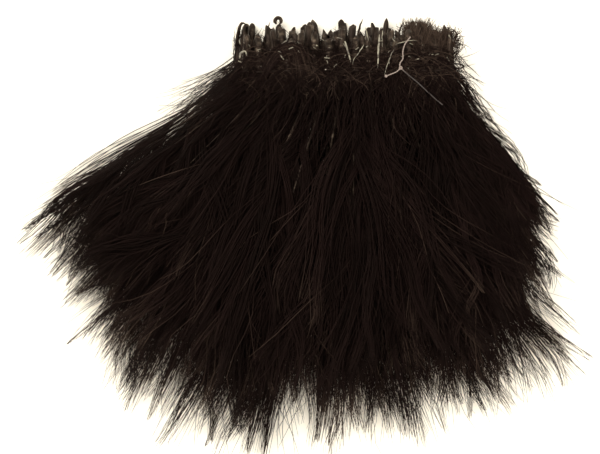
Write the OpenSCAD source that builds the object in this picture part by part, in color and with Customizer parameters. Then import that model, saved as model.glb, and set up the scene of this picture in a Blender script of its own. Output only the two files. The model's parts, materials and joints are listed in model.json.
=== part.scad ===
// Strung marabou: a hank of dyed turkey-down feathers sewn side by side on two threads.
// The strand is folded to and fro into three layers that lie on one another, tips to the front.
// +X runs along the row of quills, +Y towards the cut quill ends and +Z up. The origin is at the
// middle of the footprint, on the surface that the hank lies on.

/* [Row of quills] */
// Length of one layer's row of quills
row_w = 76; // [76:1:90]
// How far the row's middle lies to the right of the hank's middle
row_shift = 17; // [10:1:20]
// Length of quill that is left bare of down
bare_quill = 19; // [17:1:24]
// Diameter of the thickest quill
quill_d = 4.0; // [3.2:0.1:4.0]
// How much thinner the thinnest quill is
quill_d_spread = 1.0; // [0:0.1:1.2]
// How much shorter than the longest the shortest quill end is cut
cut_spread = 4.0; // [0:0.5:5]

/* [Layers] */
// Thickness of a layer at its quill ends
layer_pitch = 5.6; // [5.5:0.1:7]
// Angle between one layer's underside and the next one's, as the down lifts the tips
wedge_angle = 2.4; // [1.5:0.1:3]
// How far each layer's quill ends lie in front of those of the layer under it
layer_step = 2.5; // [0:0.5:4]
// Sideways offset of each layer's quills from those of the layer under it
row_offset = 1.7; // [0:0.1:2.5]
// How much shorter each layer's down reaches than that of the layer under it
reach_step = 0.03; // [0:0.01:0.08]
// Thickness of the down at its thickest
down_t = 7.8; // [5:0.1:7.8]

/* [Outline] */
// Width of the fan of down, tip to tip
fan_w = 202; // [190:1:215]
// Depth of the hank, from quill ends to tips
hank_l = 150; // [140:1:160]

/* [Thread] */
// Diameter of the sewing thread
thread_d = 0.6; // [0.4:0.05:0.6]
// Distance of the seam from the longest quill ends
seam_inset = 16; // [12:0.5:16.5]

/* [Hidden] */
LAYERS = ["bottom", "middle", "top"];
FEATHERS = 16;
gap = 0.4;
quill_axis_w = 2.8;
quill_root = 0.3;
needle_w = quill_axis_w + quill_d / 2 + thread_d / 2 + 0.05;
looper_w = thread_d / 2 + 0.1;
spacing = row_w / FEATHERS;
seam_v = -seam_inset;
tip_bulge = 2;
slab_h = 20;
turn_out = 1.5;
turn_gap = 0.35;
tail_d = 0.5;
tail_sides = 8;
$fn = 48;

// The front edge of the fan, as fractions of half its width and half its depth, left to right
RIM = [
    [-1.00, 0.12], [-0.97, -0.10], [-0.80, -0.48], [-0.58, -0.82], [-0.26, -0.96],
    [0.10, -1.00], [0.44, -0.96], [0.72, -0.84], [0.90, -0.60], [0.99, -0.26], [1.00, 0.02]
];

// The loose thread end's route over the top layer, in that layer's frame
TAIL = [
    [40.2, -4.1, 5.6], [39.1, -5.5, 5.7], [38.1, -7.1, 5.8], [37.5, -9.4, 5.8], [37.5, -11.8, 5.9],
    [36.5, -13.5, 6.1], [36.7, -15.1, 6.3], [39.6, -17.8, 6.2], [42.8, -20.5, 6.1],
    [47.7, -25.2, 6.3], [51.0, -28.2, 6.8]
];

function feather_name(layer, i) = str(LAYERS[layer], "_feather_", i < 9 ? "0" : "", i + 1);

// An even scatter between 0 and 1, different for each feather of each layer
function scatter(layer, i, kind) = (1 + sin(137.5 * i + 83 * layer + 211 * kind)) / 2;

function quill_r(layer, i) = (quill_d - quill_d_spread * scatter(layer, i, 0)) / 2;

// Each layer's longest quill ends on its hinge line, so the cuts count from there
function raw_cut(layer, i) = cut_spread * scatter(layer, i, 1);
function cut(layer, i) = raw_cut(layer, i) - min([for (j = [0:FEATHERS - 1]) raw_cut(layer, j)]);

function row_left(layer) = row_shift - row_w / 2 + row_offset * (layer - 1);

// A smooth curve through a list of points, at t from 0 to 1
function spline_point(a, b, c, d, f) =
    0.5 * (2 * b + (c - a) * f + (2 * a - 5 * b + 4 * c - d) * f * f
    + (3 * b - a - 3 * c + d) * f * f * f);
function along(points, t) =
    let (last = len(points) - 1, at = min(t * last, last - 0.0001), i = floor(at))
    spline_point(points[max(i - 1, 0)], points[i], points[i + 1], points[min(i + 2, last)], at - i);

// A point of a layer's rim in that layer's frame, which has its hinge line at v = 0
function rim(layer, t) =
    let (p = along(RIM, t), reach = 1 - reach_step * layer)
    [
        reach * p.x * fan_w / 2,
        reach * (p.y - 1) * hank_l / 2 + layer_step * layer
    ];
function base(layer, j) = [row_left(layer) + spacing * j, -bare_quill];
function towards(a, b, d) = a + d * (b - a) / norm(b - a);

// The plan of one feather's down: its share of the fan, a gap clear of both neighbours
function down_plan(layer, i) =
    let (
        b0 = base(layer, i), b1 = base(layer, i + 1),
        t0 = rim(layer, i / FEATHERS), t1 = rim(layer, (i + 1) / FEATHERS),
        b_mid = (b0 + b1) / 2, t_mid = (t0 + t1) / 2
    )
    [
        towards(b0, b1, gap / 2), towards(b1, b0, gap / 2), towards(t1, t0, gap / 2),
        towards(t_mid, b_mid, -tip_bulge), towards(t0, t1, gap / 2)
    ];

// The footprint is the bottom layer's, so its middle gives the origin
FOOTPRINT = [for (i = [0:FEATHERS - 1]) each down_plan(0, i)];
function middle(values) = (min(values) + max(values)) / 2;
centre_x = middle([for (p = FOOTPRINT) p.x]);
hinge_y = -min([for (p = FOOTPRINT) p.y]) / 2;

// The down's top seen from the side: thin at the quills and the tips
function down_profile() = [
    [-bare_quill, 0], [-bare_quill, 0.62 * down_t], [-45, 0.9 * down_t], [-65, down_t],
    [-95, 0.94 * down_t], [-125, 0.68 * down_t], [-hank_l - 5, 0.3 * down_t], [-hank_l - 5, 0]
];

// Lays a child out of a layer's frame into its place in the hank
module in_layer(layer) {
    translate([-centre_x, hinge_y - layer_step * layer, layer_pitch * layer])
        rotate([-wedge_angle * layer, 0, 0])
            children();
}

module down_body(layer, i) {
    intersection() {
        linear_extrude(slab_h) polygon(down_plan(layer, i));
        translate([-fan_w, 0, 0])
            rotate([90, 0, 90])
                linear_extrude(2 * fan_w) polygon(down_profile());
    }
}

module quill(layer, i) {
    length = bare_quill + quill_root - cut(layer, i);
    translate([row_left(layer) + spacing * (i + 0.5), -cut(layer, i), quill_axis_w])
        rotate([90, 0, 0])
            cylinder(h = length, r = quill_r(layer, i));
}

module feather(layer, i) {
    color([0.10, 0.08, 0.07])
        in_layer(layer) {
            down_body(layer, i);
            quill(layer, i);
        }
}

module thread_run(layer, w) {
    translate([row_left(layer), seam_v, w])
        rotate([0, 90, 0])
            cylinder(h = row_w, d = thread_d);
}

// The upper thread, with the loops that it drops between the quills
module needle_thread(layer) {
    color([0.78, 0.74, 0.66])
        in_layer(layer) {
            thread_run(layer, needle_w);
            loop_h = needle_w - looper_w - thread_d / 2 - 0.05;
            for (j = [0:FEATHERS])
                translate([row_left(layer) + spacing * j, seam_v, needle_w - loop_h])
                    cylinder(h = loop_h, d = thread_d);
        }
}

// The lower thread, which locks the loops under the quills
module looper_thread(layer) {
    color([0.78, 0.74, 0.66])
        in_layer(layer)
            thread_run(layer, looper_w);
}

// The place of a layer's lower thread end, in the part's own frame
function thread_end(layer, side) =
    let (a = wedge_angle * layer)
    [
        row_left(layer) + (side > 0 ? row_w : 0) - centre_x,
        hinge_y - layer_step * layer + seam_v * cos(a) + looper_w * sin(a),
        layer_pitch * layer - seam_v * sin(a) + looper_w * cos(a)
    ];

// A bend of thread round half a circle in the XY plane, with a straight lead at each end
module hairpin(r, lead_a, lead_b) {
    rotate_extrude(angle = 180)
        translate([r, 0])
            circle(d = thread_d);
    translate([r, 0, 0])
        rotate([90, 0, 0])
            cylinder(h = lead_a, d = thread_d);
    translate([-r, 0, 0])
        rotate([90, 0, 0])
            cylinder(h = lead_b, d = thread_d);
}

// The bend of thread that carries the strand from one layer's end up to the next layer
module turn_thread(layer, side) {
    lower = thread_end(layer, side);
    upper = thread_end(layer + 1, side);
    bend_x = side * max(side * lower.x, side * upper.x) + side * turn_out;
    rise = upper.z - lower.z;
    run = upper.y - lower.y;
    lead_lower = abs(bend_x - lower.x) - turn_gap;
    lead_upper = abs(bend_x - upper.x) - turn_gap;
    color([0.78, 0.74, 0.66])
        translate([bend_x, (lower.y + upper.y) / 2, (lower.z + upper.z) / 2])
            rotate([-atan2(run, rise), 0, 0])
                rotate([90, side * 90, 0])
                    hairpin(
                        norm([rise, run]) / 2,
                        side > 0 ? lead_lower : lead_upper,
                        side > 0 ? lead_upper : lead_lower
                    );
}

// A ring of points round the tail's route at t
function tail_ring(t) =
    let (
        here = along(TAIL, t),
        ahead = along(TAIL, min(t + 0.01, 1)) - along(TAIL, max(t - 0.01, 0)),
        side = [ahead.y, -ahead.x, 0] / norm([ahead.x, ahead.y]),
        up = cross(side, ahead) / norm(cross(side, ahead))
    )
    [
        for (s = [0:tail_sides - 1])
            here + tail_d / 2 * (cos(360 * s / tail_sides) * side + sin(360 * s / tail_sides) * up)
    ];

module thread_tail() {
    rings = 3 * (len(TAIL) - 1);
    points = [for (r = [0:rings]) each tail_ring(r / rings)];
    walls = [
        for (r = [0:rings - 1]) for (s = [0:tail_sides - 1])
            let (n = (s + 1) % tail_sides, a = r * tail_sides, b = a + tail_sides)
            each [[a + s, a + n, b + s], [a + n, b + n, b + s]]
    ];
    first = [for (s = [tail_sides - 1:-1:0]) s];
    last = [for (s = [0:tail_sides - 1]) rings * tail_sides + s];
    color([0.78, 0.74, 0.66])
        in_layer(2)
            polyhedron(points, concat([first], walls, [last]));
}

for (layer = [0:2]) {
    for (i = [0:FEATHERS - 1])
        feather(layer, i);
    needle_thread(layer);
    looper_thread(layer);
}
turn_thread(0, 1);  // right_turn_thread
turn_thread(1, -1);  // left_turn_thread
thread_tail();
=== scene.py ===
"""A strand of dyed marabou feathers, folded into a flat hank of three layers.

Every feather is one mesh, grown from its CAD node: a cut quill, the shaft that carries on from it, and the
soft barbs of the down with their finer barbules. Lengths are in millimetres in a layer's own frame (u along
the row of quills, v towards the cut ends, w up), until to_world() turns them into metres in the row frame.
"""

import json
import math

import bpy
import numpy as np
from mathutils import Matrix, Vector


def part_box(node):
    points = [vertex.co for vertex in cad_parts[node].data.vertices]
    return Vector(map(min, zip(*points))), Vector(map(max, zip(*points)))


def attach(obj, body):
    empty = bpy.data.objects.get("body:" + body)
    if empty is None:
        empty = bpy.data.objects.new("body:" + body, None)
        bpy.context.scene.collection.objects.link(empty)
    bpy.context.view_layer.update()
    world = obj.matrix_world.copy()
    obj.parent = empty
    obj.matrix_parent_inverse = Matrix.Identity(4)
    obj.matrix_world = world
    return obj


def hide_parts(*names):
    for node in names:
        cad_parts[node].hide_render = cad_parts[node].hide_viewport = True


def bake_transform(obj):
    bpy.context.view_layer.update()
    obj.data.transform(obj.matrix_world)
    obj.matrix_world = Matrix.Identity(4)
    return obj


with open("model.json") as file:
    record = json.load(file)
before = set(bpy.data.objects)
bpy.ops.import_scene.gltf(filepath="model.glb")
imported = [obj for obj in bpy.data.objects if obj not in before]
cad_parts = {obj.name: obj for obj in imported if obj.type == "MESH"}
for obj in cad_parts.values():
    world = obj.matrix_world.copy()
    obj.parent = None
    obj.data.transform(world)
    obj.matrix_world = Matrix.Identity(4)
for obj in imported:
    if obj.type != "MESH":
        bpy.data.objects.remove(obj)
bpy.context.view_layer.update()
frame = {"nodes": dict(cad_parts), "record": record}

MM = 0.001
LAYERS = ("bottom", "middle", "top")
FEATHERS = 16

# A feather's materials in the order of its slots, and a thread's only one
DOWN, QUILL, SKIN = range(3)
THREAD = 0

# A layer: where its down starts, how thick it is at the quill ends, and how it thickens to the tips
DOWN_START = -19.0
SLOT_T = 5.6
WEDGE = math.radians(2.4)
# The down's gap to the layers under and over it, and how far the top layer's may stand out of its slot
CLEAR = 0.35
LOFT = 4.0

# The down of one feather: locks of barbs that each end in a soft point, apart from a share of strays
LOCKS = 32
PER_LOCK = 13
STRAYS = 0.13
# The fan's left edge is thin: how many feathers there have fewer locks, and how many locks they have
THIN_FEATHERS = 2
THIN_LOCKS = 12
# The shaft's length and height, as shares of the down's length and the layer's thickness
SHAFT_SHARE = 0.57
SHAFT_RISE = 0.42
# How many short barbs of each kind a feather bears, where it has them
FLUFF = 70
COLLAR = 60
QUILL_HAIRS = 36
TUFT = 130
CURL = 70
# How many feathers at the right end of the row have the tuft
TUFT_FEATHERS = 3
# A barb: its rings, its radius at the root and at the tip, and how much finer the short ones are
RINGS = 10
BARB_SIDES = 3
BARB_R = 0.16
BARB_TIP_R = 0.055
SHORT_SHARE = 0.55
# The fine spikes along each barb: how many, their radius and their length
BARBULES = 18
BARBULE_R = 0.045
BARBULE_L = 1.4
SPIKE_ANGLES = (0, 2 * math.pi / 3, 4 * math.pi / 3)
# Each ring's place along a barb, from root to tip
T = np.linspace(0, 1, RINGS)
# Painted light: how much lighter the barbs' ends are painted, standing in for the light that comes through
# them, most in the bottom layer
PAINTED_TIP_LIGHT = {"bottom": 0.62, "middle": 0.40, "top": 0.22}

# The corners of a CAD feather that lie this near its farthest one count as its tip
TIP_BAND = 12
# How far each feather's down reaches in its share of the fan, left to right
REACH = (
    1.12, 1.02, 0.90, 0.93, 0.99, 1.04, 1.02, 1.07,
    0.98, 1.02, 0.96, 1.06, 0.92, 0.88, 0.94, 0.92,
)
# The top layer's feathers are of mixed lengths, so some of them end on the others
TOP_REACH = (
    1.00, 0.84, 0.98, 0.80, 0.94, 0.78, 0.96, 0.83,
    0.99, 0.78, 0.94, 0.82, 0.96, 0.80, 0.92, 0.94,
)
# How far the outermost feathers turn in from the fan's edges, from the edge inwards
TURN_IN = np.radians([5, 4, 2])
# How far each feather's locks droop towards the front, left to right
DROOP = np.radians([12, 58, 14, 5, 0, 0, 0, 0, 0, 0, 0, 0, 0, 0, -4, -10])

# How finely quills, shafts and slips of quill skin are drawn
QUILL_SIDES = 16
SHAFT_SIDES = 8
SLIP_SIDES = 7
SLIP_POINTS = 14
# The height of the quills' axes, and the shapes of the bottom layer's quill ends, left to right
QUILL_AXIS = 2.8
END_STYLES = (
    "hook", "open", "spike", "loop", "slant", "open", "round", "round",
    "open", "spike", "open", "round", "spike", "slant", "open", "open",
)
# How far short of the cut the stub ends, where a strip of its wall runs on
STUB_DROP = {"hook": 8.0, "spike": 4.5, "loop": 2.2}
# The end of a quill as (distance back from the cut, share of the radius), from the bore out
OPEN_END = ((5.0, 0.35), (2.5, 0.66), (0.15, 0.78), (0.0, 0.86), (0.15, 0.95), (1.4, 1.0))
ROUND_END = ((0.0, 0.12), (0.3, 0.48), (0.9, 0.78), (2.0, 0.96), (3.2, 1.0))
# The stub's swelling from there to the down, as shares of the radius
BODY_SHARES = (1.0, 1.03, 1.0, 0.97, 0.93, 0.85)
# Where the barbs' UV cells start, and the cells under them as (left, bottom, width, height)
BARB_CELLS_LOW = 0.15
STUB_CELL = np.array([[0.02, 0.01, 0.44, 0.12]])
SHAFT_CELL = np.array([[0.50, 0.01, 0.20, 0.12]])
SLIP_CELL = np.array([[0.74, 0.01, 0.24, 0.12]])

# The seam: its place, the heights of the lower thread and of the upper one's loops, and how finely
# each thread is drawn
SEAM_V = -16.0
LOOPER_W = 0.4
LOOP_W = 1.2
NEEDLE_POINTS = 620
LOOPER_BENDS = 24
LOOPER_POINTS = 320
# A thread: two plies, each with its own radius and place as shares of the thread's radius
THREAD_R = 0.28
PLY_SIDES = 6
PLY_PITCH = 1.7
PLY_R_SHARE = 0.66
PLY_OUT_SHARE = 0.38
# A bend of thread: its gap to the seam's end, how far out it turns, and its points
TURN_GAP = 0.35
TURN_OUT = 1.5
TURN_POINTS = 90

# The loose thread end over the top layer, and its spur behind the knot
TAIL_ROUTE = (
    (40.2, -4.1, 5.6), (39.1, -5.5, 5.7), (38.1, -7.1, 5.8), (37.5, -9.4, 5.8), (37.5, -11.8, 5.9),
    (36.5, -13.5, 6.1), (36.7, -15.1, 6.3), (39.6, -17.8, 6.2), (42.8, -20.5, 6.1), (47.7, -25.2, 6.3),
    (51.0, -28.2, 6.8),
)
SPUR_ROUTE = ((36.7, -15.2, 6.4), (35.2, -16.6, 6.7), (33.4, -17.4, 6.7), (31.6, -18.1, 6.5))
TAIL_R = 0.24
TAIL_POINTS = 120
# The share of the tail that runs up to the knot, which is the paler part
KNOT_AT = 0.36
# The knot's coil, and the radius of the bead at the spur's end
COIL_R = 0.42
BEAD_R = 0.51
BEAD_SIDES = 10

# A lock of down that curls back over the quills left of the middle, on one top feather
CURL_FEATHER = 4
CURL_ROUTE = ((-11.5, -19.0), (-8.1, -12.0), (-4.0, -8.2), (0.0, -8.6), (1.8, -12.0), (3.0, -18.0))

# Pale slips of quill skin and fibre over the top layer's quills: feather, radius, route
SLIPS = (
    (7, 0.42, ((17.4, -5.4), (18.3, -8.5), (19.5, -12.9))),
    (10, 0.45, ((29.5, -3.1), (29.1, -8.5), (28.8, -15.0))),
    (9, 0.22, ((24.7, -0.6), (25.1, -3.0), (25.7, -5.6))),
    (10, 0.20, ((30.6, -1.6), (30.4, -4.5), (30.5, -7.6))),
    (0, 0.45, ((-19.2, -11.6), (-18.8, -9.6), (-17.3, -9.2), (-16.6, -10.8))),
    (11, 0.20, ((34.5, -8.2), (33.0, -11.6), (31.6, -15.6), (31.3, -18.0))),
    (8, 0.20, ((24.1, -6.5), (22.4, -9.4), (20.6, -11.7), (20.1, -13.8))),
    (12, 0.16, ((35.2, -6.4), (37.6, -5.8), (40.2, -5.2), (42.8, -5.3))),
)

# The picture: its width and the point that the camera looks down on, in metres, then the camera's own
# focal length and sensor width in millimetres
VIEW_WIDTH = 0.2108
VIEW_CENTRE = (0.0018, 0.0010, 0.012)
LENS = 85
SENSOR = 36
# Area lights: name, place and size in metres, power in watts
LIGHTS = (("key", (-0.5, 0.6, 0.9), 0.7, 12.0), ("fill", (0.7, -0.5, 0.8), 0.9, 7.0))


# ---------------------------------------------------------------- frames of the layers

def feather_node(layer, i):
    return f"{layer}_feather_{i + 1:02d}"


def layer_frames():
    """Each layer's origin on its hinge line and its unit vectors u, v, w, in the row frame."""
    joints = {j["name"]: j for j in frame["record"]["behaviour"]["joints"]}
    back = max(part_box(feather_node("bottom", i))[1].y for i in range(FEATHERS))
    frames = {"bottom": (Vector((0, back, 0)), Vector((0, 0, 1)))}
    for layer in LAYERS[1:]:
        origin = Vector(joints[f"{layer}_layer_lift"]["pos_m"])
        origin.x = 0
        normal = Vector(joints[f"{layer}_layer_swing"]["axis"])
        frames[layer] = (origin, normal if normal.z > 0 else -normal)
    return {k: (o, Vector((1, 0, 0)), n.cross(Vector((1, 0, 0))), n) for k, (o, n) in frames.items()}


def to_local(points, layer):
    """Row frame, metres, to a layer's frame, millimetres."""
    o, u, v, w = LAYER_FRAMES[layer]
    return (np.asarray(points) - np.array(o)) @ np.array([u, v, w]).T / MM


def to_world(points, layer):
    """A layer's frame, millimetres, to the row frame, metres."""
    o, u, v, w = LAYER_FRAMES[layer]
    return np.array(o) + np.asarray(points) @ np.array([u, v, w]) * MM


def slot_height(v):
    """How thick a layer may be at v, up to the next layer's underside."""
    return SLOT_T - np.asarray(v) * math.tan(WEDGE)


LAYER_FRAMES = layer_frames()


# ---------------------------------------------------------------- what the CAD says

class Plan:
    """One feather's measures, read from its CAD node, in its layer's frame."""

    def __init__(self, layer, i):
        node = frame["nodes"][feather_node(layer, i)]
        co = to_local([v.co for v in node.data.vertices], layer)
        quill = co[co[:, 1] > DOWN_START + 0.5]
        self.layer, self.i = layer, i
        self.quill_u = (quill[:, 0].min() + quill[:, 0].max()) / 2
        self.quill_r = (quill[:, 0].max() - quill[:, 0].min()) / 2
        self.cut_v = quill[:, 1].max()
        self.base = np.array([self.quill_u, DOWN_START])
        down = co[co[:, 1] < DOWN_START - 5][:, :2]
        reach = np.linalg.norm(down - self.base, axis=1)
        axis = down[reach > reach.max() - TIP_BAND].mean(0) - self.base
        self.length = REACH[i] * np.linalg.norm(axis) * (TOP_REACH[i] if layer == "top" else 1)
        self.fan = math.atan2(axis[0], -axis[1])
        from_edge = min(i, FEATHERS - 1 - i)
        if from_edge < len(TURN_IN):
            self.fan -= math.copysign(TURN_IN[from_edge], self.fan)
        self.axis = self.length * np.array([math.sin(self.fan), -math.cos(self.fan)])


def row_ends(layer):
    """The left and right ends of a layer's seam, u only."""
    node = frame["nodes"][f"{layer}_looper_thread"]
    u = to_local([v.co for v in node.data.vertices], layer)[:, 0]
    return u.min(), u.max()


# ---------------------------------------------------------------- gathering a mesh

class Soup:
    """Collects tubes and spikes as arrays, and makes one mesh object of them."""

    def __init__(self):
        self.verts, self.loops, self.sizes = [], [], []
        self.uvs, self.mats, self.tones = [], [], []
        self.count = 0

    def add(self, verts, faces, uvs, mat, tones):
        """verts (n, 3), faces (m, k) into them, uvs (m, k, 2), a material index, tones (n,)."""
        self.add_faces(faces, uvs, mat)
        self.verts.append(verts)
        self.tones.append(tones)
        self.count += len(verts)

    def add_faces(self, faces, uvs, mat):
        """faces (m, k) counted from the first vertex that isn't added yet."""
        self.loops.append((faces + self.count).ravel())
        self.sizes.append(np.full(len(faces), faces.shape[1]))
        self.uvs.append(uvs.reshape(-1, 2))
        self.mats.append(np.full(len(faces), mat))

    def add_rings(self, ring, cells, mat, tones):
        """Closed tubes from ring points (n, rings, sides, 3), each in a UV cell; tones (n, rings)."""
        n, rings, sides = ring.shape[:3]
        index = np.arange(n * rings * sides).reshape(n, rings, sides)
        a, b = index[:, :-1], index[:, 1:]
        quads = np.stack([a, np.roll(a, -1, 2), np.roll(b, -1, 2), b], -1).reshape(-1, 4)
        s = np.arange(sides) / sides
        t = np.arange(rings) / (rings - 1)
        corner_u = np.stack([s, s + 1 / sides, s + 1 / sides, s], -1)
        corner_v = np.stack([t[:-1], t[:-1], t[1:], t[1:]], -1)
        u = np.broadcast_to(corner_u[None, None], (n, rings - 1, sides, 4))
        v = np.broadcast_to(corner_v[None, :, None], (n, rings - 1, sides, 4))
        caps = np.concatenate([index[:, 0, ::-1], index[:, -1]])
        cap_uv = np.repeat(np.concatenate([cells, cells])[:, None, :2], sides, 1)
        self.add_faces(caps, cap_uv, mat)
        uvs = in_cells(u, v, cells[:, None, None, None])
        self.add(ring.reshape(-1, 3), quads, uvs, mat, np.repeat(tones.ravel(), sides))

    def add_tubes(self, paths, radii, sides, cells, mat, tones):
        """Closed round tubes along paths (n, rings, 3) with radii and tones (n, rings)."""
        side, up = side_and_up(unit(np.gradient(paths, axis=1)))
        angle = 2 * math.pi * np.arange(sides)[:, None] / sides
        offset = np.cos(angle) * side[:, :, None] + np.sin(angle) * up[:, :, None]
        ring = paths[:, :, None] + radii[:, :, None, None] * offset
        self.add_rings(ring, cells, mat, tones)

    def add_spikes(self, feet, heads, side, up, r, cells, mat, tones):
        """Closed three-sided spikes from feet to heads (n, 3)."""
        n = len(feet)
        base = [feet + r * (math.cos(a) * side + math.sin(a) * up) for a in SPIKE_ANGLES]
        verts = np.stack(base + [heads], 1).reshape(-1, 3)
        start = 4 * np.arange(n)[:, None, None]
        faces = start + np.array([[0, 1, 3], [1, 2, 3], [2, 0, 3], [2, 1, 0]])
        corner = np.broadcast_to(np.array([[0.2, 0.2], [0.8, 0.2], [0.5, 0.9]]), (n, 4, 3, 2))
        uvs = in_cells(corner[..., 0], corner[..., 1], cells[:, None, None])
        self.add(verts, faces.reshape(-1, 3), uvs, mat, np.repeat(tones, 4))

    def build(self, name, verts, materials):
        """verts are the collected ones in the row frame, in metres."""
        mesh = bpy.data.meshes.new(name)
        loops = np.concatenate(self.loops)
        sizes = np.concatenate(self.sizes)
        mesh.vertices.add(len(verts))
        mesh.vertices.foreach_set("co", verts.astype(np.float32).ravel())
        mesh.loops.add(len(loops))
        mesh.loops.foreach_set("vertex_index", loops.astype(np.int32))
        mesh.polygons.add(len(sizes))
        mesh.polygons.foreach_set("loop_start", (np.cumsum(sizes) - sizes).astype(np.int32))
        mesh.polygons.foreach_set("material_index", np.concatenate(self.mats).astype(np.int32))
        mesh.polygons.foreach_set("use_smooth", np.ones(len(sizes), bool))
        uv = mesh.uv_layers.new(name="OFBake")
        uv.data.foreach_set("uv", np.concatenate(self.uvs).astype(np.float32).ravel())
        tone = mesh.attributes.new("tone", "FLOAT", "POINT")
        tone.data.foreach_set("value", np.concatenate(self.tones).astype(np.float32))
        mesh.update(calc_edges=True)
        for material in materials:
            mesh.materials.append(material)
        piece = bpy.data.objects.new(name, mesh)
        bpy.context.collection.objects.link(piece)
        return piece

    def build_in(self, name, layer, materials):
        """The same, from vertices that were collected in a layer's frame, riding on that layer."""
        piece = self.build(name, to_world(np.concatenate(self.verts), layer), materials)
        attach(piece, f"{layer}_layer")
        return piece


def unit(x):
    return x / np.maximum(np.linalg.norm(x, axis=-1, keepdims=True), 1e-9)


def side_and_up(tangent):
    """Two unit vectors square to each tangent; side lies flat in the layer."""
    side = np.cross(tangent, np.array([0.0, 0.0, 1.0]))
    steep = np.linalg.norm(side, axis=-1, keepdims=True) < 0.05
    side = unit(np.where(steep, np.cross(tangent, np.array([0.0, 1.0, 0.0])), side))
    return side, unit(np.cross(side, tangent))


def in_cells(u, v, cells):
    """UV places inside cells (left, bottom, width, height)."""
    return np.stack([cells[..., 0] + u * cells[..., 2], cells[..., 1] + v * cells[..., 3]], -1)


def uv_cells(n, low=0.0, high=1.0):
    """n equal UV cells in a grid over the square between two heights."""
    rows = max(1, round(math.sqrt(n) / 3))
    columns = math.ceil(n / rows)
    k = np.arange(n)
    width, height = 1 / columns, (high - low) / rows
    margin = 0.06
    return np.stack([
        (k % columns + margin) * width, low + (k // columns + margin) * height,
        np.full(n, (1 - 2 * margin) * width), np.full(n, (1 - 2 * margin) * height),
    ], -1)


def smooth_path(points, count):
    """count points along a smooth curve through the given ones, evenly spaced."""
    p = np.asarray(points, float)
    p = np.concatenate([2 * p[:1] - p[1:2], p, 2 * p[-1:] - p[-2:-1]])
    f = np.linspace(0, 1, 12, endpoint=False)[:, None]
    parts = [
        0.5 * (
            2 * b + (c - a) * f + (2 * a - 5 * b + 4 * c - d) * f ** 2
            + (3 * b - a - 3 * c + d) * f ** 3
        )
        for a, b, c, d in zip(p, p[1:], p[2:], p[3:])
    ]
    fine = np.concatenate(parts + [p[-2:-1]])
    at = np.concatenate([[0], np.cumsum(np.linalg.norm(np.diff(fine, axis=0), axis=1))])
    wanted = np.linspace(0, at[-1], count)
    return np.stack([np.interp(wanted, at, fine[:, k]) for k in range(3)], -1)


# ---------------------------------------------------------------- the down

def shaft_point(plan, s, bow):
    """The feather's shaft from the start of its down, s from 0 to 1, as (n, 3) points."""
    s = np.asarray(s)[:, None]
    across = np.array([-plan.axis[1], plan.axis[0]]) / plan.length
    flat = plan.base + SHAFT_SHARE * s * plan.axis + 4 * bow * s * (1 - s) * across
    low = SHAFT_RISE * slot_height(flat[:, 1:])
    rise = QUILL_AXIS + (low - QUILL_AXIS) * np.clip(2 * s, 0, 1)
    return np.hstack([flat, rise])


def side_room(plan):
    """How freely the locks spread to the left and right: little beyond the fan's own two edges."""
    left, right = min(1, plan.i / 4), min(1, (FEATHERS - 1 - plan.i) / 5)
    return left ** 1.5 + 0.4 * (1 - right) + 0.02, right ** 2 + 0.4 * (1 - left) + 0.02


def edge_share(plan):
    """How far a feather is one of the fan's edges, from 0 inside the fan up to nearly 1."""
    return np.clip(1 - min(side_room(plan)), 0, 1)


def row_room(plan):
    """How freely short hairs spread to the left and right: little beyond the row's two ends."""
    return min(1, 0.15 + plan.i / 3), min(1, 0.35 + (FEATHERS - 1 - plan.i) / 3)


def sweep(start, heading, first, last, length, climb, hold):
    """Curves that leave start at heading + first and end at heading + last, (n, RINGS, 3).

    climb is the angle at which they rise at first, and a higher hold turns them sooner.
    """
    bend = (1 - T[None]) ** hold
    turn = (heading + last)[:, None] + (first - last)[:, None] * bend
    rise = climb[:, None] * (1 - 1.3 * T[None])
    step = length[:, None] / (RINGS - 1)
    move = np.stack([
        step * np.sin(turn) * np.cos(rise), -step * np.cos(turn) * np.cos(rise), step * np.sin(rise)
    ], -1)
    return start[:, None] + np.cumsum(move, 1) - move[:, :1]


def waves(n, size, rng):
    """A slow wave for each of n paths, none at the root and larger towards the tip."""
    phase = rng.uniform(0, 2 * math.pi, (n, 1, 3))
    rate = rng.uniform(0.6, 1.6, (n, 1, 3))
    amount = rng.normal(0, size, (n, 1, 3)) * np.array([1.0, 0.7, 0.5])
    t = T[None, :, None]
    return amount * (np.sin(2 * math.pi * rate * t + phase) - np.sin(phase)) * t


def per_barb(values, jitter, rng):
    """Each lock's value for all its barbs, with some scatter."""
    return (values[:, None] + jitter * rng.normal(size=(len(values), PER_LOCK))).ravel()


def lock_shapes(plan, n, rng):
    """Each lock's place along the shaft, its angles at root and tip, its length and its climb."""
    s = ((np.arange(n) + rng.random(n)) / n) ** 0.52
    sign = rng.permutation(np.resize([-1.0, 1.0], n))
    out = np.where(sign < 0, *side_room(plan)) * sign
    first = out * np.radians(58 - 26 * s) * rng.uniform(0.5, 1.05, n)
    last = out * np.radians(15 - 5 * s) * rng.uniform(-0.1, 1.4, n) + rng.normal(0, 0.12, n)
    last += DROOP[plan.i] * rng.uniform(0.2, 1, n)
    ragged = 0.11 + 0.16 * edge_share(plan)
    length = plan.length * (0.69 - 0.23 * s) * (1.01 - ragged * rng.random(n))
    return s, first, last, length, rng.normal(0.06, 0.15, n)


def lock_roots(plan, s, rng):
    """Where on the bowed shaft each barb starts, and the shaft's heading there."""
    bow = rng.normal(0, 4) * min(side_room(plan))
    at = np.clip(per_barb(s, 0.02, rng), 0, 1)
    start = shaft_point(plan, at, bow)
    ahead = shaft_point(plan, at + 0.01, bow) - start
    return start, np.arctan2(ahead[:, 0], -ahead[:, 1]) + rng.normal(0, 0.05) * at


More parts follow.
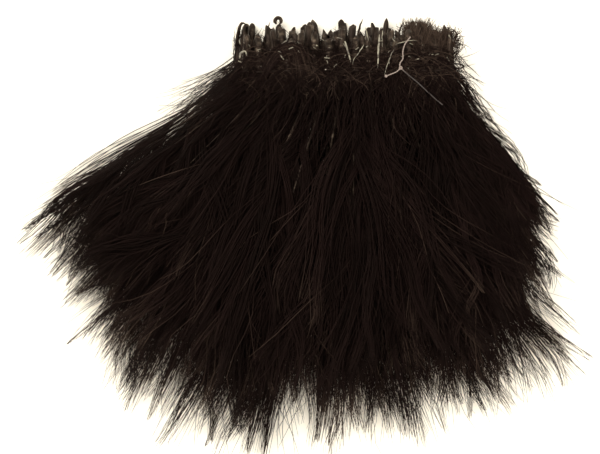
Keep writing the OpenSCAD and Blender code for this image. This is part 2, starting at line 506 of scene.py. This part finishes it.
def draw_together(paths, stray, rng):
    """Pulls the tips of each lock's barbs towards their middle, all but the strays'."""
    tips = paths[:, :, -1:]
    pull = rng.uniform(0.30, 0.92, (len(paths), 1, 1, 1)) * ~stray[:, :, None, None]
    return paths + (tips.mean(1, keepdims=True) - tips) * pull * T[:, None] ** 1.8


def lock_paths(plan, rng):
    """The barbs of a feather's locks and each barb's tone: a lock draws together into a soft point."""
    n = THIN_LOCKS if plan.i < THIN_FEATHERS else LOCKS
    s, first, last, length, climb = lock_shapes(plan, n, rng)
    start, heading = lock_roots(plan, s, rng)
    stray = rng.random((n, PER_LOCK)) < STRAYS
    swerve = (0.5 - 0.4 * edge_share(plan)) * rng.uniform(-1, 1, n * PER_LOCK) * stray.ravel()
    paths = sweep(
        start, heading, per_barb(first, 0.10, rng), per_barb(last, 0.05, rng) + swerve,
        per_barb(length, 3.0, rng), per_barb(climb, 0.03, rng), 1.6
    )
    paths = (paths + waves(len(paths), 0.8, rng)).reshape(n, PER_LOCK, RINGS, 3)
    paths = draw_together(paths, stray, rng) + waves(n, 2.2, rng)[:, None]
    # Each lock has its own tone, its barbs differ a little, and strays are painted lighter, a painted
    # highlight for the light they catch
    tone = 0.5 * rng.random((n, 1)) ** 1.7 + 0.22 * rng.random((n, PER_LOCK)) + 0.13 * stray
    return paths.reshape(-1, RINGS, 3), tone.ravel()


def fluff_paths(plan, rng):
    """Short soft barbs at the foot of the down, over the seam and the start of the shaft."""
    n = FLUFF
    around = rng.uniform(0, 2 * math.pi, n)
    start = np.stack([
        plan.quill_u + 0.8 * plan.quill_r * np.cos(around), rng.uniform(DOWN_START - 4, SEAM_V + 3, n),
        QUILL_AXIS + 0.8 * plan.quill_r * np.sin(around),
    ], -1)
    first = np.cos(around) * np.radians(95) * rng.uniform(0.5, 1, n)
    if plan.layer == "top":
        first *= np.where(rng.random(n) < 0.45, 1.9, 1.0)
    first *= np.where(first < 0, *side_room(plan))
    last = rng.normal(0, 0.2, n)
    length = rng.uniform(12, 34, n)
    climb = rng.normal(0.25, 0.25, n)
    paths = sweep(start, np.full(n, plan.fan), first, last, length, climb, 1.2)
    return paths + waves(n, 1.0, rng), 0.6 * rng.random(n)


def collar_paths(plan, rng):
    """Loose down of the top layer that lies back over the seam and the lower half of the quills."""
    n = COLLAR
    start = np.stack([
        plan.quill_u + rng.normal(0, 1.5, n), rng.uniform(DOWN_START - 1, -9, n),
        QUILL_AXIS + plan.quill_r + rng.uniform(0, 0.6, n),
    ], -1)
    first = rng.choice([-1, 1], n) * np.radians(rng.uniform(40, 165, n))
    first *= np.where(first < 0, *row_room(plan))
    last = 0.3 * first + rng.normal(0, 0.5, n)
    length = rng.uniform(5, 15, n)
    climb = rng.normal(0.15, 0.15, n)
    paths = sweep(start, np.full(n, 0.5 * plan.fan), first, last, length, climb, 1.0)
    return paths + waves(n, 0.6, rng), rng.uniform(0.2, 0.9, n)


def quill_hairs(plan, rng):
    """Broken barbs that cling along the quill, most of them pointing to its cut end."""
    n = QUILL_HAIRS
    v = DOWN_START + (plan.cut_v - 5 - DOWN_START) * rng.random(n) ** 1.5
    start = np.stack([
        plan.quill_u + plan.quill_r * rng.uniform(-1, 1, n), v,
        QUILL_AXIS + plan.quill_r * rng.uniform(0.2, 0.9, n),
    ], -1)
    room = min(row_room(plan))
    heading = math.pi + room * rng.normal(0, 0.7, n)
    length = rng.uniform(0.3, 1.0, n) * np.clip(plan.cut_v - v - 1, 2, 9)
    first = room * rng.normal(0, 0.5, n)
    last = room * rng.normal(0, 0.8, n)
    climb = rng.normal(0.1, 0.2, n)
    return sweep(start, heading, first, last, length, climb, 1.0), rng.uniform(0.1, 0.75, n)


def tuft_paths(plan, rng):
    """The brown tuft that stands up at the right end of the row, with curls on the last feather."""
    last = plan.i == FEATHERS - 1
    n = TUFT // 2 if last else TUFT
    v = rng.uniform(-13, plan.cut_v - 3, n)
    start = np.stack([
        plan.quill_u + rng.normal(0, 1.4, n), v, QUILL_AXIS + plan.quill_r * rng.uniform(-0.5, 1, n)
    ], -1)
    curl = np.where(rng.random(n) < 0.35, 4.0, 0.9) if last else 0.7
    first = rng.normal(-0.5 if last else 0.0, 0.4, n)
    past_cut = 4 if plan.layer == "top" and not last else 1.5
    length = np.clip((plan.cut_v + past_cut - v) * rng.uniform(0.5, 1.05, n), 3, 11)
    turn = rng.normal(0, 1, n) * curl
    climb = rng.normal(0.1, 0.2, n)
    paths = sweep(start, np.full(n, math.pi), first, turn, length, climb, 0.9)
    return paths, rng.uniform(0.65, 1.0, n)


def curl_paths(rng):
    """The lock that curls back over the quills."""
    n = CURL
    route = smooth_path([(u, v, QUILL_AXIS + 2.9) for u, v in CURL_ROUTE], RINGS)
    scatter = rng.normal(0, 1, (n, 1, 3)) * np.array([1.1, 1.1, 0.3]) * (0.5 + T[None, :, None])
    return route[None] + scatter + waves(n, 0.9, rng), rng.uniform(0.35, 0.8, n)


def slot_top(v, layer):
    """How high a layer's down may reach: short of the next layer's, or in the top layer loftier."""
    loft = LOFT * np.clip((-v - 20) / 40, 0, 1) if layer == "top" else 0
    return slot_height(v) - CLEAR + loft


def keep_in_layer(paths, layer):
    """Holds barbs between the layer's underside and the height that its down may reach."""
    top = slot_top(paths[..., 1], layer)
    middle, half = (top + CLEAR) / 2, (top - CLEAR) / 2
    held = paths.copy()
    held[..., 2] = middle + half * np.tanh((paths[..., 2] - middle) / half)
    return held


def add_down(soup, plan, rng):
    """All the barbs of a feather: the long ones in locks, and the short ones, which are finer."""
    long, short = [lock_paths(plan, rng)], [fluff_paths(plan, rng), quill_hairs(plan, rng)]
    if plan.layer == "top":
        short.append(collar_paths(plan, rng))
        if plan.i == CURL_FEATHER:
            short.append(curl_paths(rng))
    if plan.i >= FEATHERS - TUFT_FEATHERS:
        short.append(tuft_paths(plan, rng))
    paths = keep_in_layer(np.concatenate([p for p, _ in long + short]), plan.layer)
    tone = np.concatenate([t for _, t in long + short])
    thick = rng.uniform(0.75, 1.15, (len(paths), 1))
    thick[len(long[0][0]):] *= SHORT_SHARE
    radii = BARB_TIP_R + (BARB_R - BARB_TIP_R) * (1 - T[None] ** 3) * thick
    # Painted light: each barb's tone rises towards its tip, lighter ends painted in for the light that
    # comes through them
    tones = tone[:, None] + PAINTED_TIP_LIGHT[plan.layer] * T[None] ** 3
    cells = uv_cells(len(paths), low=BARB_CELLS_LOW)
    soup.add_tubes(paths, radii, BARB_SIDES, cells, DOWN, tones)
    add_barbules(soup, paths, plan.layer, cells, tone, rng)


def add_barbules(soup, paths, layer, cells, tone, rng):
    """The fine side hairs that make the barbs downy, as spikes along each barb."""
    n = len(paths)
    at = (0.04 + 0.66 * rng.random((n, BARBULES)) ** 1.1) * (RINGS - 1)
    k = np.floor(at).astype(int)
    f = (at - k)[..., None]
    row = np.arange(n)[:, None]
    foot = paths[row, k] * (1 - f) + paths[row, k + 1] * f
    tangent = unit(paths[row, k + 1] - paths[row, k])
    side, up = side_and_up(tangent)
    around = rng.uniform(0, 2 * math.pi, (n, BARBULES, 1))
    out = np.cos(around) * side + 0.6 * np.sin(around) * up
    fade = 1 - 0.9 * (at / (RINGS - 1))[..., None] ** 1.5
    length = BARBULE_L * rng.uniform(0.5, 1.4, (n, BARBULES, 1)) * fade
    head = foot + length * unit(tangent * rng.uniform(0.5, 1.3, (n, BARBULES, 1)) + out)
    head[..., 2] = np.clip(head[..., 2], 0.1, slot_top(head[..., 1], layer) + 0.2)
    vectors = [x.reshape(-1, 3) for x in (foot, head, np.cross(out, tangent), tangent)]
    cells = np.repeat(cells, BARBULES, 0)
    soup.add_spikes(*vectors, BARBULE_R, cells, DOWN, np.repeat(tone + 0.1, BARBULES))


# ---------------------------------------------------------------- the quill and shaft

def add_quill(soup, plan, style, rng):
    """The bare quill, with its own kind of end, and the shaft that runs on into the down."""
    cut = plan.cut_v - STUB_DROP.get(style, 0)
    if style == "slant":
        slant = rng.uniform(0.7, 1.0) * rng.choice([-1, 1])
    else:
        slant = rng.uniform(-0.3, 0.3)
    bevel = rng.uniform(0.3, 1.3)
    add_stub(soup, plan, cut, (slant, bevel), ROUND_END if style == "round" else OPEN_END, rng)
    if style in STUB_DROP:
        add_wall_strip(soup, plan, style, cut, rng)
    add_shaft(soup, plan)


def add_wall_strip(soup, plan, style, cut, rng):
    """The strip of a quill's wall that runs on past its stub, as a spike, a hook or a loop."""
    top, w = plan.cut_v, QUILL_AXIS + 0.4
    if style == "spike":
        side, r_start, r_end = rng.choice([-1, 1]), 0.90, 0.12
        bends = ((-0.3 * plan.quill_r, cut - 3), (0.1, cut + 0.5), (0.8, top - 0.5), (2.0, top + 2.2))
    elif style == "hook":
        side, r_start, r_end = 1, 0.75, 0.5
        bends = ((-0.6, cut - 2), (0.0, cut + 3), (0.6, top - 2), (1.6, top - 0.8), (2.8, top - 1.4))
    else:
        side, r_start, r_end, w = 1, 0.75, 0.65, QUILL_AXIS
        turns = np.radians(np.linspace(-150, 150, 9))
        bends = [(1.1 * math.sin(a), cut + 1.1 + 1.2 * math.cos(a)) for a in turns]
    route = [(plan.quill_u + side * out, v) for out, v in bends]
    add_slip(soup, route, w, r_start, r_end, QUILL, rng)


def add_shaft(soup, plan):
    """The shaft, which starts inside the quill and tapers through the down."""
    s = np.linspace(0, 1, 9)
    foot = np.array([[plan.quill_u, DOWN_START + up, QUILL_AXIS] for up in (3, 1)])
    path = np.concatenate([foot, shaft_point(plan, s, 0.0)])
    r = plan.quill_r
    radii = np.concatenate([[0.8 * r, 0.75 * r], 0.10 + 0.45 * r * (1 - s) ** 2])[None]
    soup.add_tubes(path[None], radii, SHAFT_SIDES, SHAFT_CELL, QUILL, np.zeros_like(radii))


def add_stub(soup, plan, cut, slopes, end, rng):
    """A stub that leans a little, flattened and ragged at its end, which is cut at two slopes."""
    body_v = np.linspace(cut - 4.5, DOWN_START, len(BODY_SHARES))
    v = np.concatenate([[cut - back for back, _ in end], body_v])[:, None]
    share = np.concatenate([[k for _, k in end], BODY_SHARES])[:, None]
    tilt = ((v - DOWN_START) / (cut - DOWN_START)) ** 2
    lean, lift, flat = rng.normal(0, 0.7), rng.normal(0, 0.15), rng.uniform(-0.20, 0.10)
    slim = 1 - rng.uniform(0.05, 0.38) * tilt
    angle = 2 * math.pi * np.arange(QUILL_SIDES) / QUILL_SIDES
    ragged = rng.normal(0, 0.25) * np.sin(2 * angle + rng.uniform(0, 6))
    ragged += rng.normal(0, 0.12, QUILL_SIDES)
    near = np.clip(1 - (cut - v) / 1.4, 0, 1)
    out = plan.quill_r * share * slim
    back = slopes[0] * out * np.cos(angle) - slopes[1] * out * (1 + np.sin(angle)) + ragged
    ring = np.stack([
        plan.quill_u + lean * tilt + out * (1 + flat * tilt) * np.cos(angle),
        v + near * back,
        QUILL_AXIS + lift * tilt + out * (1 - flat * tilt) * np.sin(angle),
    ], -1)
    soup.add_rings(ring[None], STUB_CELL, QUILL, np.full((1, len(v)), rng.random()))


def add_slip(soup, route, w, r_start, r_end, mat, rng):
    """A tapering slip of quill skin or fibre along a route (u, v) at the height w."""
    points = [(u, v, w + 0.5 * k / len(route)) for k, (u, v) in enumerate(route)]
    path = smooth_path(points, SLIP_POINTS)
    path[1:-1] += rng.normal(0, 0.05, (SLIP_POINTS - 2, 3))
    t = np.linspace(0, 1, SLIP_POINTS)
    radii = (r_start + (r_end - r_start) * t) * np.clip(0.35 + 4 * np.minimum(t, 1 - t), 0, 1)
    soup.add_tubes(path[None], radii[None], SLIP_SIDES, SLIP_CELL, mat, np.zeros((1, SLIP_POINTS)))


def add_crumbs(soup, plan, rng):
    """Small pale crumbs of quill skin between the quills and over the seam."""
    for _ in range(rng.integers(1, 6)):
        u, v = plan.quill_u + rng.normal(0, 1.8), rng.uniform(-16, -4)
        turn, length = rng.uniform(0, math.pi), rng.uniform(0.5, 2.2)
        along = np.linspace(0, length, 3)
        route = [(u + d * math.cos(turn), v + d * math.sin(turn)) for d in along]
        r = rng.uniform(0.08, 0.22)
        add_slip(soup, route, QUILL_AXIS + plan.quill_r + rng.uniform(-0.5, 0.6), r, r, SKIN, rng)


def make_feather(layer, i, materials):
    """One feather, with the slips of quill skin that lie on it if it is a top one."""
    plan = Plan(layer, i)
    rng = np.random.default_rng(1000 * LAYERS.index(layer) + i)
    soup = Soup()
    style = END_STYLES[i] if layer == "bottom" else rng.choice(["open", "open", "slant", "round"])
    add_quill(soup, plan, style, rng)
    add_down(soup, plan, rng)
    if layer == "top":
        for owner, r, route in SLIPS:
            if owner == i:
                add_slip(soup, route, QUILL_AXIS + plan.quill_r + r, r, 0.5 * r, SKIN, rng)
        add_crumbs(soup, plan, rng)
    piece = soup.build_in(f"{layer}_plume_{i + 1:02d}", layer, materials)
    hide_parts(feather_node(layer, i))


# ---------------------------------------------------------------- the threads

def add_plies(soup, path, r, tone=0.0):
    """A thread of two plies twisted round each other; tone may change along it."""
    side, up = side_and_up(unit(np.gradient(path, axis=0)))
    run = np.concatenate([[0], np.cumsum(np.linalg.norm(np.diff(path, axis=0), axis=1))])
    cells = uv_cells(2)
    for k in range(2):
        turn = (2 * math.pi * run / PLY_PITCH + k * math.pi)[:, None]
        ply = path + PLY_OUT_SHARE * r * (np.cos(turn) * side + np.sin(turn) * up)
        radii = np.full((1, len(path)), PLY_R_SHARE * r)
        tones = tone + np.zeros_like(radii)
        soup.add_tubes(ply[None], radii, PLY_SIDES, cells[k:k + 1], THREAD, tones)


def needle_route(layer, rng):
    """Over each quill, and down between it and the next, from the left end to the right."""
    plans = [Plan(layer, i) for i in range(FEATHERS)]
    left, right = row_ends(layer)
    edges = [left] + [(a.quill_u + b.quill_u) / 2 for a, b in zip(plans, plans[1:])] + [right]
    route = []
    for k, plan in enumerate(plans):
        v = SEAM_V + rng.normal(0, 0.25)
        over = QUILL_AXIS + plan.quill_r + 0.35
        route.append((edges[k], v, LOOP_W))
        route += [(plan.quill_u + side * 0.55 * plan.quill_r, v, over) for side in (-1, 1)]
    return route + [(edges[-1], SEAM_V, LOOP_W)]


def make_seam(layer, material):
    """A layer's upper and lower threads."""
    rng = np.random.default_rng(50 + LAYERS.index(layer))
    bends = np.linspace(*row_ends(layer), LOOPER_BENDS)
    looper = [(u, SEAM_V + rng.normal(0, 0.1), LOOPER_W) for u in bends]
    needle = needle_route(layer, rng)
    for kind, route, count in (("needle", needle, NEEDLE_POINTS), ("looper", looper, LOOPER_POINTS)):
        soup = Soup()
        add_plies(soup, smooth_path(route, count), THREAD_R)
        piece = soup.build_in(f"{layer}_{kind}_stitches", layer, [material])
        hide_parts(f"{layer}_{kind}_thread")


def make_turn(lower, upper, right, material):
    """The thread that carries the strand up from one layer's end to the next layer's."""
    side = 1 if right else -1
    ends = [
        to_world([row_ends(layer)[right] + side * TURN_GAP, SEAM_V, LOOPER_W], layer) / MM
        for layer in (lower, upper)
    ]
    bend_x = max(side * e[0] for e in ends) * side + side * TURN_OUT
    middle = (ends[0] + ends[1]) / 2
    half = (ends[0] - ends[1]) / 2
    middle[0], half[0] = bend_x, 0
    out = np.array([side * np.linalg.norm(half), 0, 0])
    bend = [middle + math.cos(a) * half + math.sin(a) * out for a in np.linspace(0, math.pi, 9)]
    soup = Soup()
    add_plies(soup, smooth_path([ends[0], *bend, ends[1]], TURN_POINTS), THREAD_R)
    name = "right_turn" if right else "left_turn"
    piece = soup.build(f"{name}_loop", np.concatenate(soup.verts) * MM, [material])
    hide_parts(f"{name}_thread")
    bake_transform(piece)


def make_tail(material):
    """The loose end over the top layer, pale up to its knot and darker past it."""
    path = smooth_path(TAIL_ROUTE, TAIL_POINTS)
    soup = Soup()
    past_knot = np.linspace(0, 1, TAIL_POINTS) - KNOT_AT
    add_plies(soup, path, TAIL_R, tone=np.clip(8 * past_knot, 0.1, 0.88))
    tail = soup.build_in("loose_thread", "top", [material])
    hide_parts("thread_tail")
    piece = make_knot(material)


def make_knot(material):
    """The loose end's knot: two turns of thread, and the short spur behind it with a bead at its end."""
    soup = Soup()
    a = np.linspace(0, 4 * math.pi, 40)
    coil = np.stack([COIL_R * np.cos(a), COIL_R * np.sin(a), 0.25 * np.sin(1.5 * a)], -1)
    add_plies(soup, np.array(SPUR_ROUTE[0]) + coil, TAIL_R)
    add_plies(soup, smooth_path(SPUR_ROUTE, 40), 0.8 * TAIL_R)
    along = np.linspace(-0.5, 0.5, 9)
    bead = np.array(SPUR_ROUTE[-1]) + along[:, None] * np.array([1.0, 0, 0])
    radii = np.sqrt(BEAD_R ** 2 - along ** 2)
    soup.add_tubes(bead[None], radii[None], BEAD_SIDES, uv_cells(1), THREAD, np.zeros((1, len(along))))
    piece = soup.build_in("thread_knot", "top", [material])
    return piece


# ---------------------------------------------------------------- materials

def noise_material(name, scale, stops, roughness, specular=0.5, tint=(1, 1, 1), tone_share=0.0):
    """A rough material whose colour runs through stops (position, colour) with noise.

    With a tone_share the mesh's own tone picks the place on the ramp, and noise only shifts it so far.
    """
    material = bpy.data.materials.new(name)
    material.use_nodes = True
    tree = material.node_tree
    shader = tree.nodes["Principled BSDF"]
    ramp = tree.nodes.new("ShaderNodeValToRGB")
    while len(ramp.color_ramp.elements) < len(stops):
        ramp.color_ramp.elements.new(0.5)
    for element, (position, colour) in zip(ramp.color_ramp.elements, stops):
        element.position = position
        element.color = (*colour, 1)
    noise = tree.nodes.new("ShaderNodeTexNoise")
    noise.inputs["Scale"].default_value = scale
    noise.inputs["Detail"].default_value = 4
    coords = tree.nodes.new("ShaderNodeTexCoord")
    tree.links.new(coords.outputs["Object"], noise.inputs["Vector"])
    place = shift_tone(tree, noise.outputs["Fac"], tone_share) if tone_share else noise.outputs["Fac"]
    tree.links.new(place, ramp.inputs["Fac"])
    tree.links.new(ramp.outputs["Color"], shader.inputs["Base Color"])
    shader.inputs["Roughness"].default_value = roughness
    shader.inputs["Specular IOR Level"].default_value = specular
    shader.inputs["Specular Tint"].default_value = (*tint, 1)
    return material


def shift_tone(tree, noise, share):
    """The mesh's tone plus share times the noise, which is centred on nought."""
    tone = tree.nodes.new("ShaderNodeAttribute")
    tone.attribute_name = "tone"
    centred = tree.nodes.new("ShaderNodeMath")
    centred.operation = "SUBTRACT"
    centred.inputs[1].default_value = 0.5
    shifted = tree.nodes.new("ShaderNodeMath")
    shifted.operation = "MULTIPLY_ADD"
    shifted.inputs[1].default_value = share
    tree.links.new(noise, centred.inputs[0])
    tree.links.new(centred.outputs[0], shifted.inputs[0])
    tree.links.new(tone.outputs["Fac"], shifted.inputs[2])
    return shifted.outputs[0]


def make_materials():
    """Every material of the hank, by a short name."""
    # The down's ramp runs from near black to a lighter brown; the barbs' tone picks the place, and the
    # painted light at their ends and on the strays raises it
    down = (
        (0.0, (0.0008, 0.0003, 0.0003)),
        (0.65, (0.0080, 0.0038, 0.0033)),
        (1.0, (0.0550, 0.0360, 0.0250)),
    )
    quill = (
        (0.38, (0.0035, 0.0022, 0.0014)),
        (0.56, (0.013, 0.0088, 0.0056)),
        (0.74, (0.095, 0.070, 0.048)),
    )
    skin = ((0.35, (0.055, 0.042, 0.027)), (0.65, (0.25, 0.22, 0.150)))
    seam = (
        (0.50, (0.009, 0.006, 0.0045)),
        (0.68, (0.015, 0.010, 0.008)),
        (0.72, (0.32, 0.27, 0.21)),
    )
    pale = (
        (0.0, (0.23, 0.175, 0.14)),
        (0.5, (0.085, 0.062, 0.048)),
        (1.0, (0.016, 0.0105, 0.008)),
    )
    warm = (1.0, 0.72, 0.56)
    return {
        "down": noise_material("dyed_down", 60, down, 0.55, 0.07, warm, tone_share=0.3),
        "quill": noise_material("dyed_quill", 480, quill, 0.50, 0.20, warm),
        "skin": noise_material("quill_skin", 500, skin, 0.5),
        "seam": noise_material("seam_thread", 160, seam, 0.8, 0.1, warm),
        "pale": noise_material("pale_thread", 700, pale, 0.8, tone_share=0.25),
    }


# ---------------------------------------------------------------- stage, light and camera

def add_stage():
    """The white surface that the hank lies on."""
    floor_colour = ((0.40, (0.93, 0.85, 0.71)), (0.60, (0.95, 0.87, 0.73)))
    bpy.ops.mesh.primitive_plane_add(size=6)
    floor = bpy.context.object
    floor.name = "floor"
    floor.location.z = -0.0002
    floor.data.materials.append(noise_material("floor_white", 3, floor_colour, 0.9))


def add_lights():
    """Even light from all round, with a soft key light from behind and a weaker one in front."""
    world = bpy.data.worlds.new("studio")
    world.use_nodes = True
    world.node_tree.nodes["Background"].inputs["Color"].default_value = (1.0, 0.985, 0.95, 1)
    world.node_tree.nodes["Background"].inputs["Strength"].default_value = 1.35
    bpy.context.scene.world = world
    for name, place, size, power in LIGHTS:
        data = bpy.data.lights.new(name, "AREA")
        data.size = size
        data.energy = power
        lamp = bpy.data.objects.new(name, data)
        lamp.location = place
        lamp.rotation_euler = (-Vector(place)).to_track_quat("-Z", "Y").to_euler()
        bpy.context.collection.objects.link(lamp)


def add_camera():
    """Straight above, with the quill ends at the top of the picture."""
    data = bpy.data.cameras.new("camera")
    data.lens = LENS
    data.sensor_width = SENSOR
    camera = bpy.data.objects.new("camera", data)
    x, y, z = VIEW_CENTRE
    camera.location = (x, y, z + VIEW_WIDTH * LENS / SENSOR)
    bpy.context.collection.objects.link(camera)
    bpy.context.scene.camera = camera


def main():
    bpy.context.scene.view_settings.view_transform = "Standard"
    add_stage()
    add_lights()
    add_camera()
    materials = make_materials()
    for layer in LAYERS:
        for i in range(FEATHERS):
            make_feather(layer, i, [materials["down"], materials["quill"], materials["skin"]])
        make_seam(layer, materials["seam"])
    make_turn("bottom", "middle", True, materials["seam"])
    make_turn("middle", "top", False, materials["seam"])
    make_tail(materials["pale"])


main()
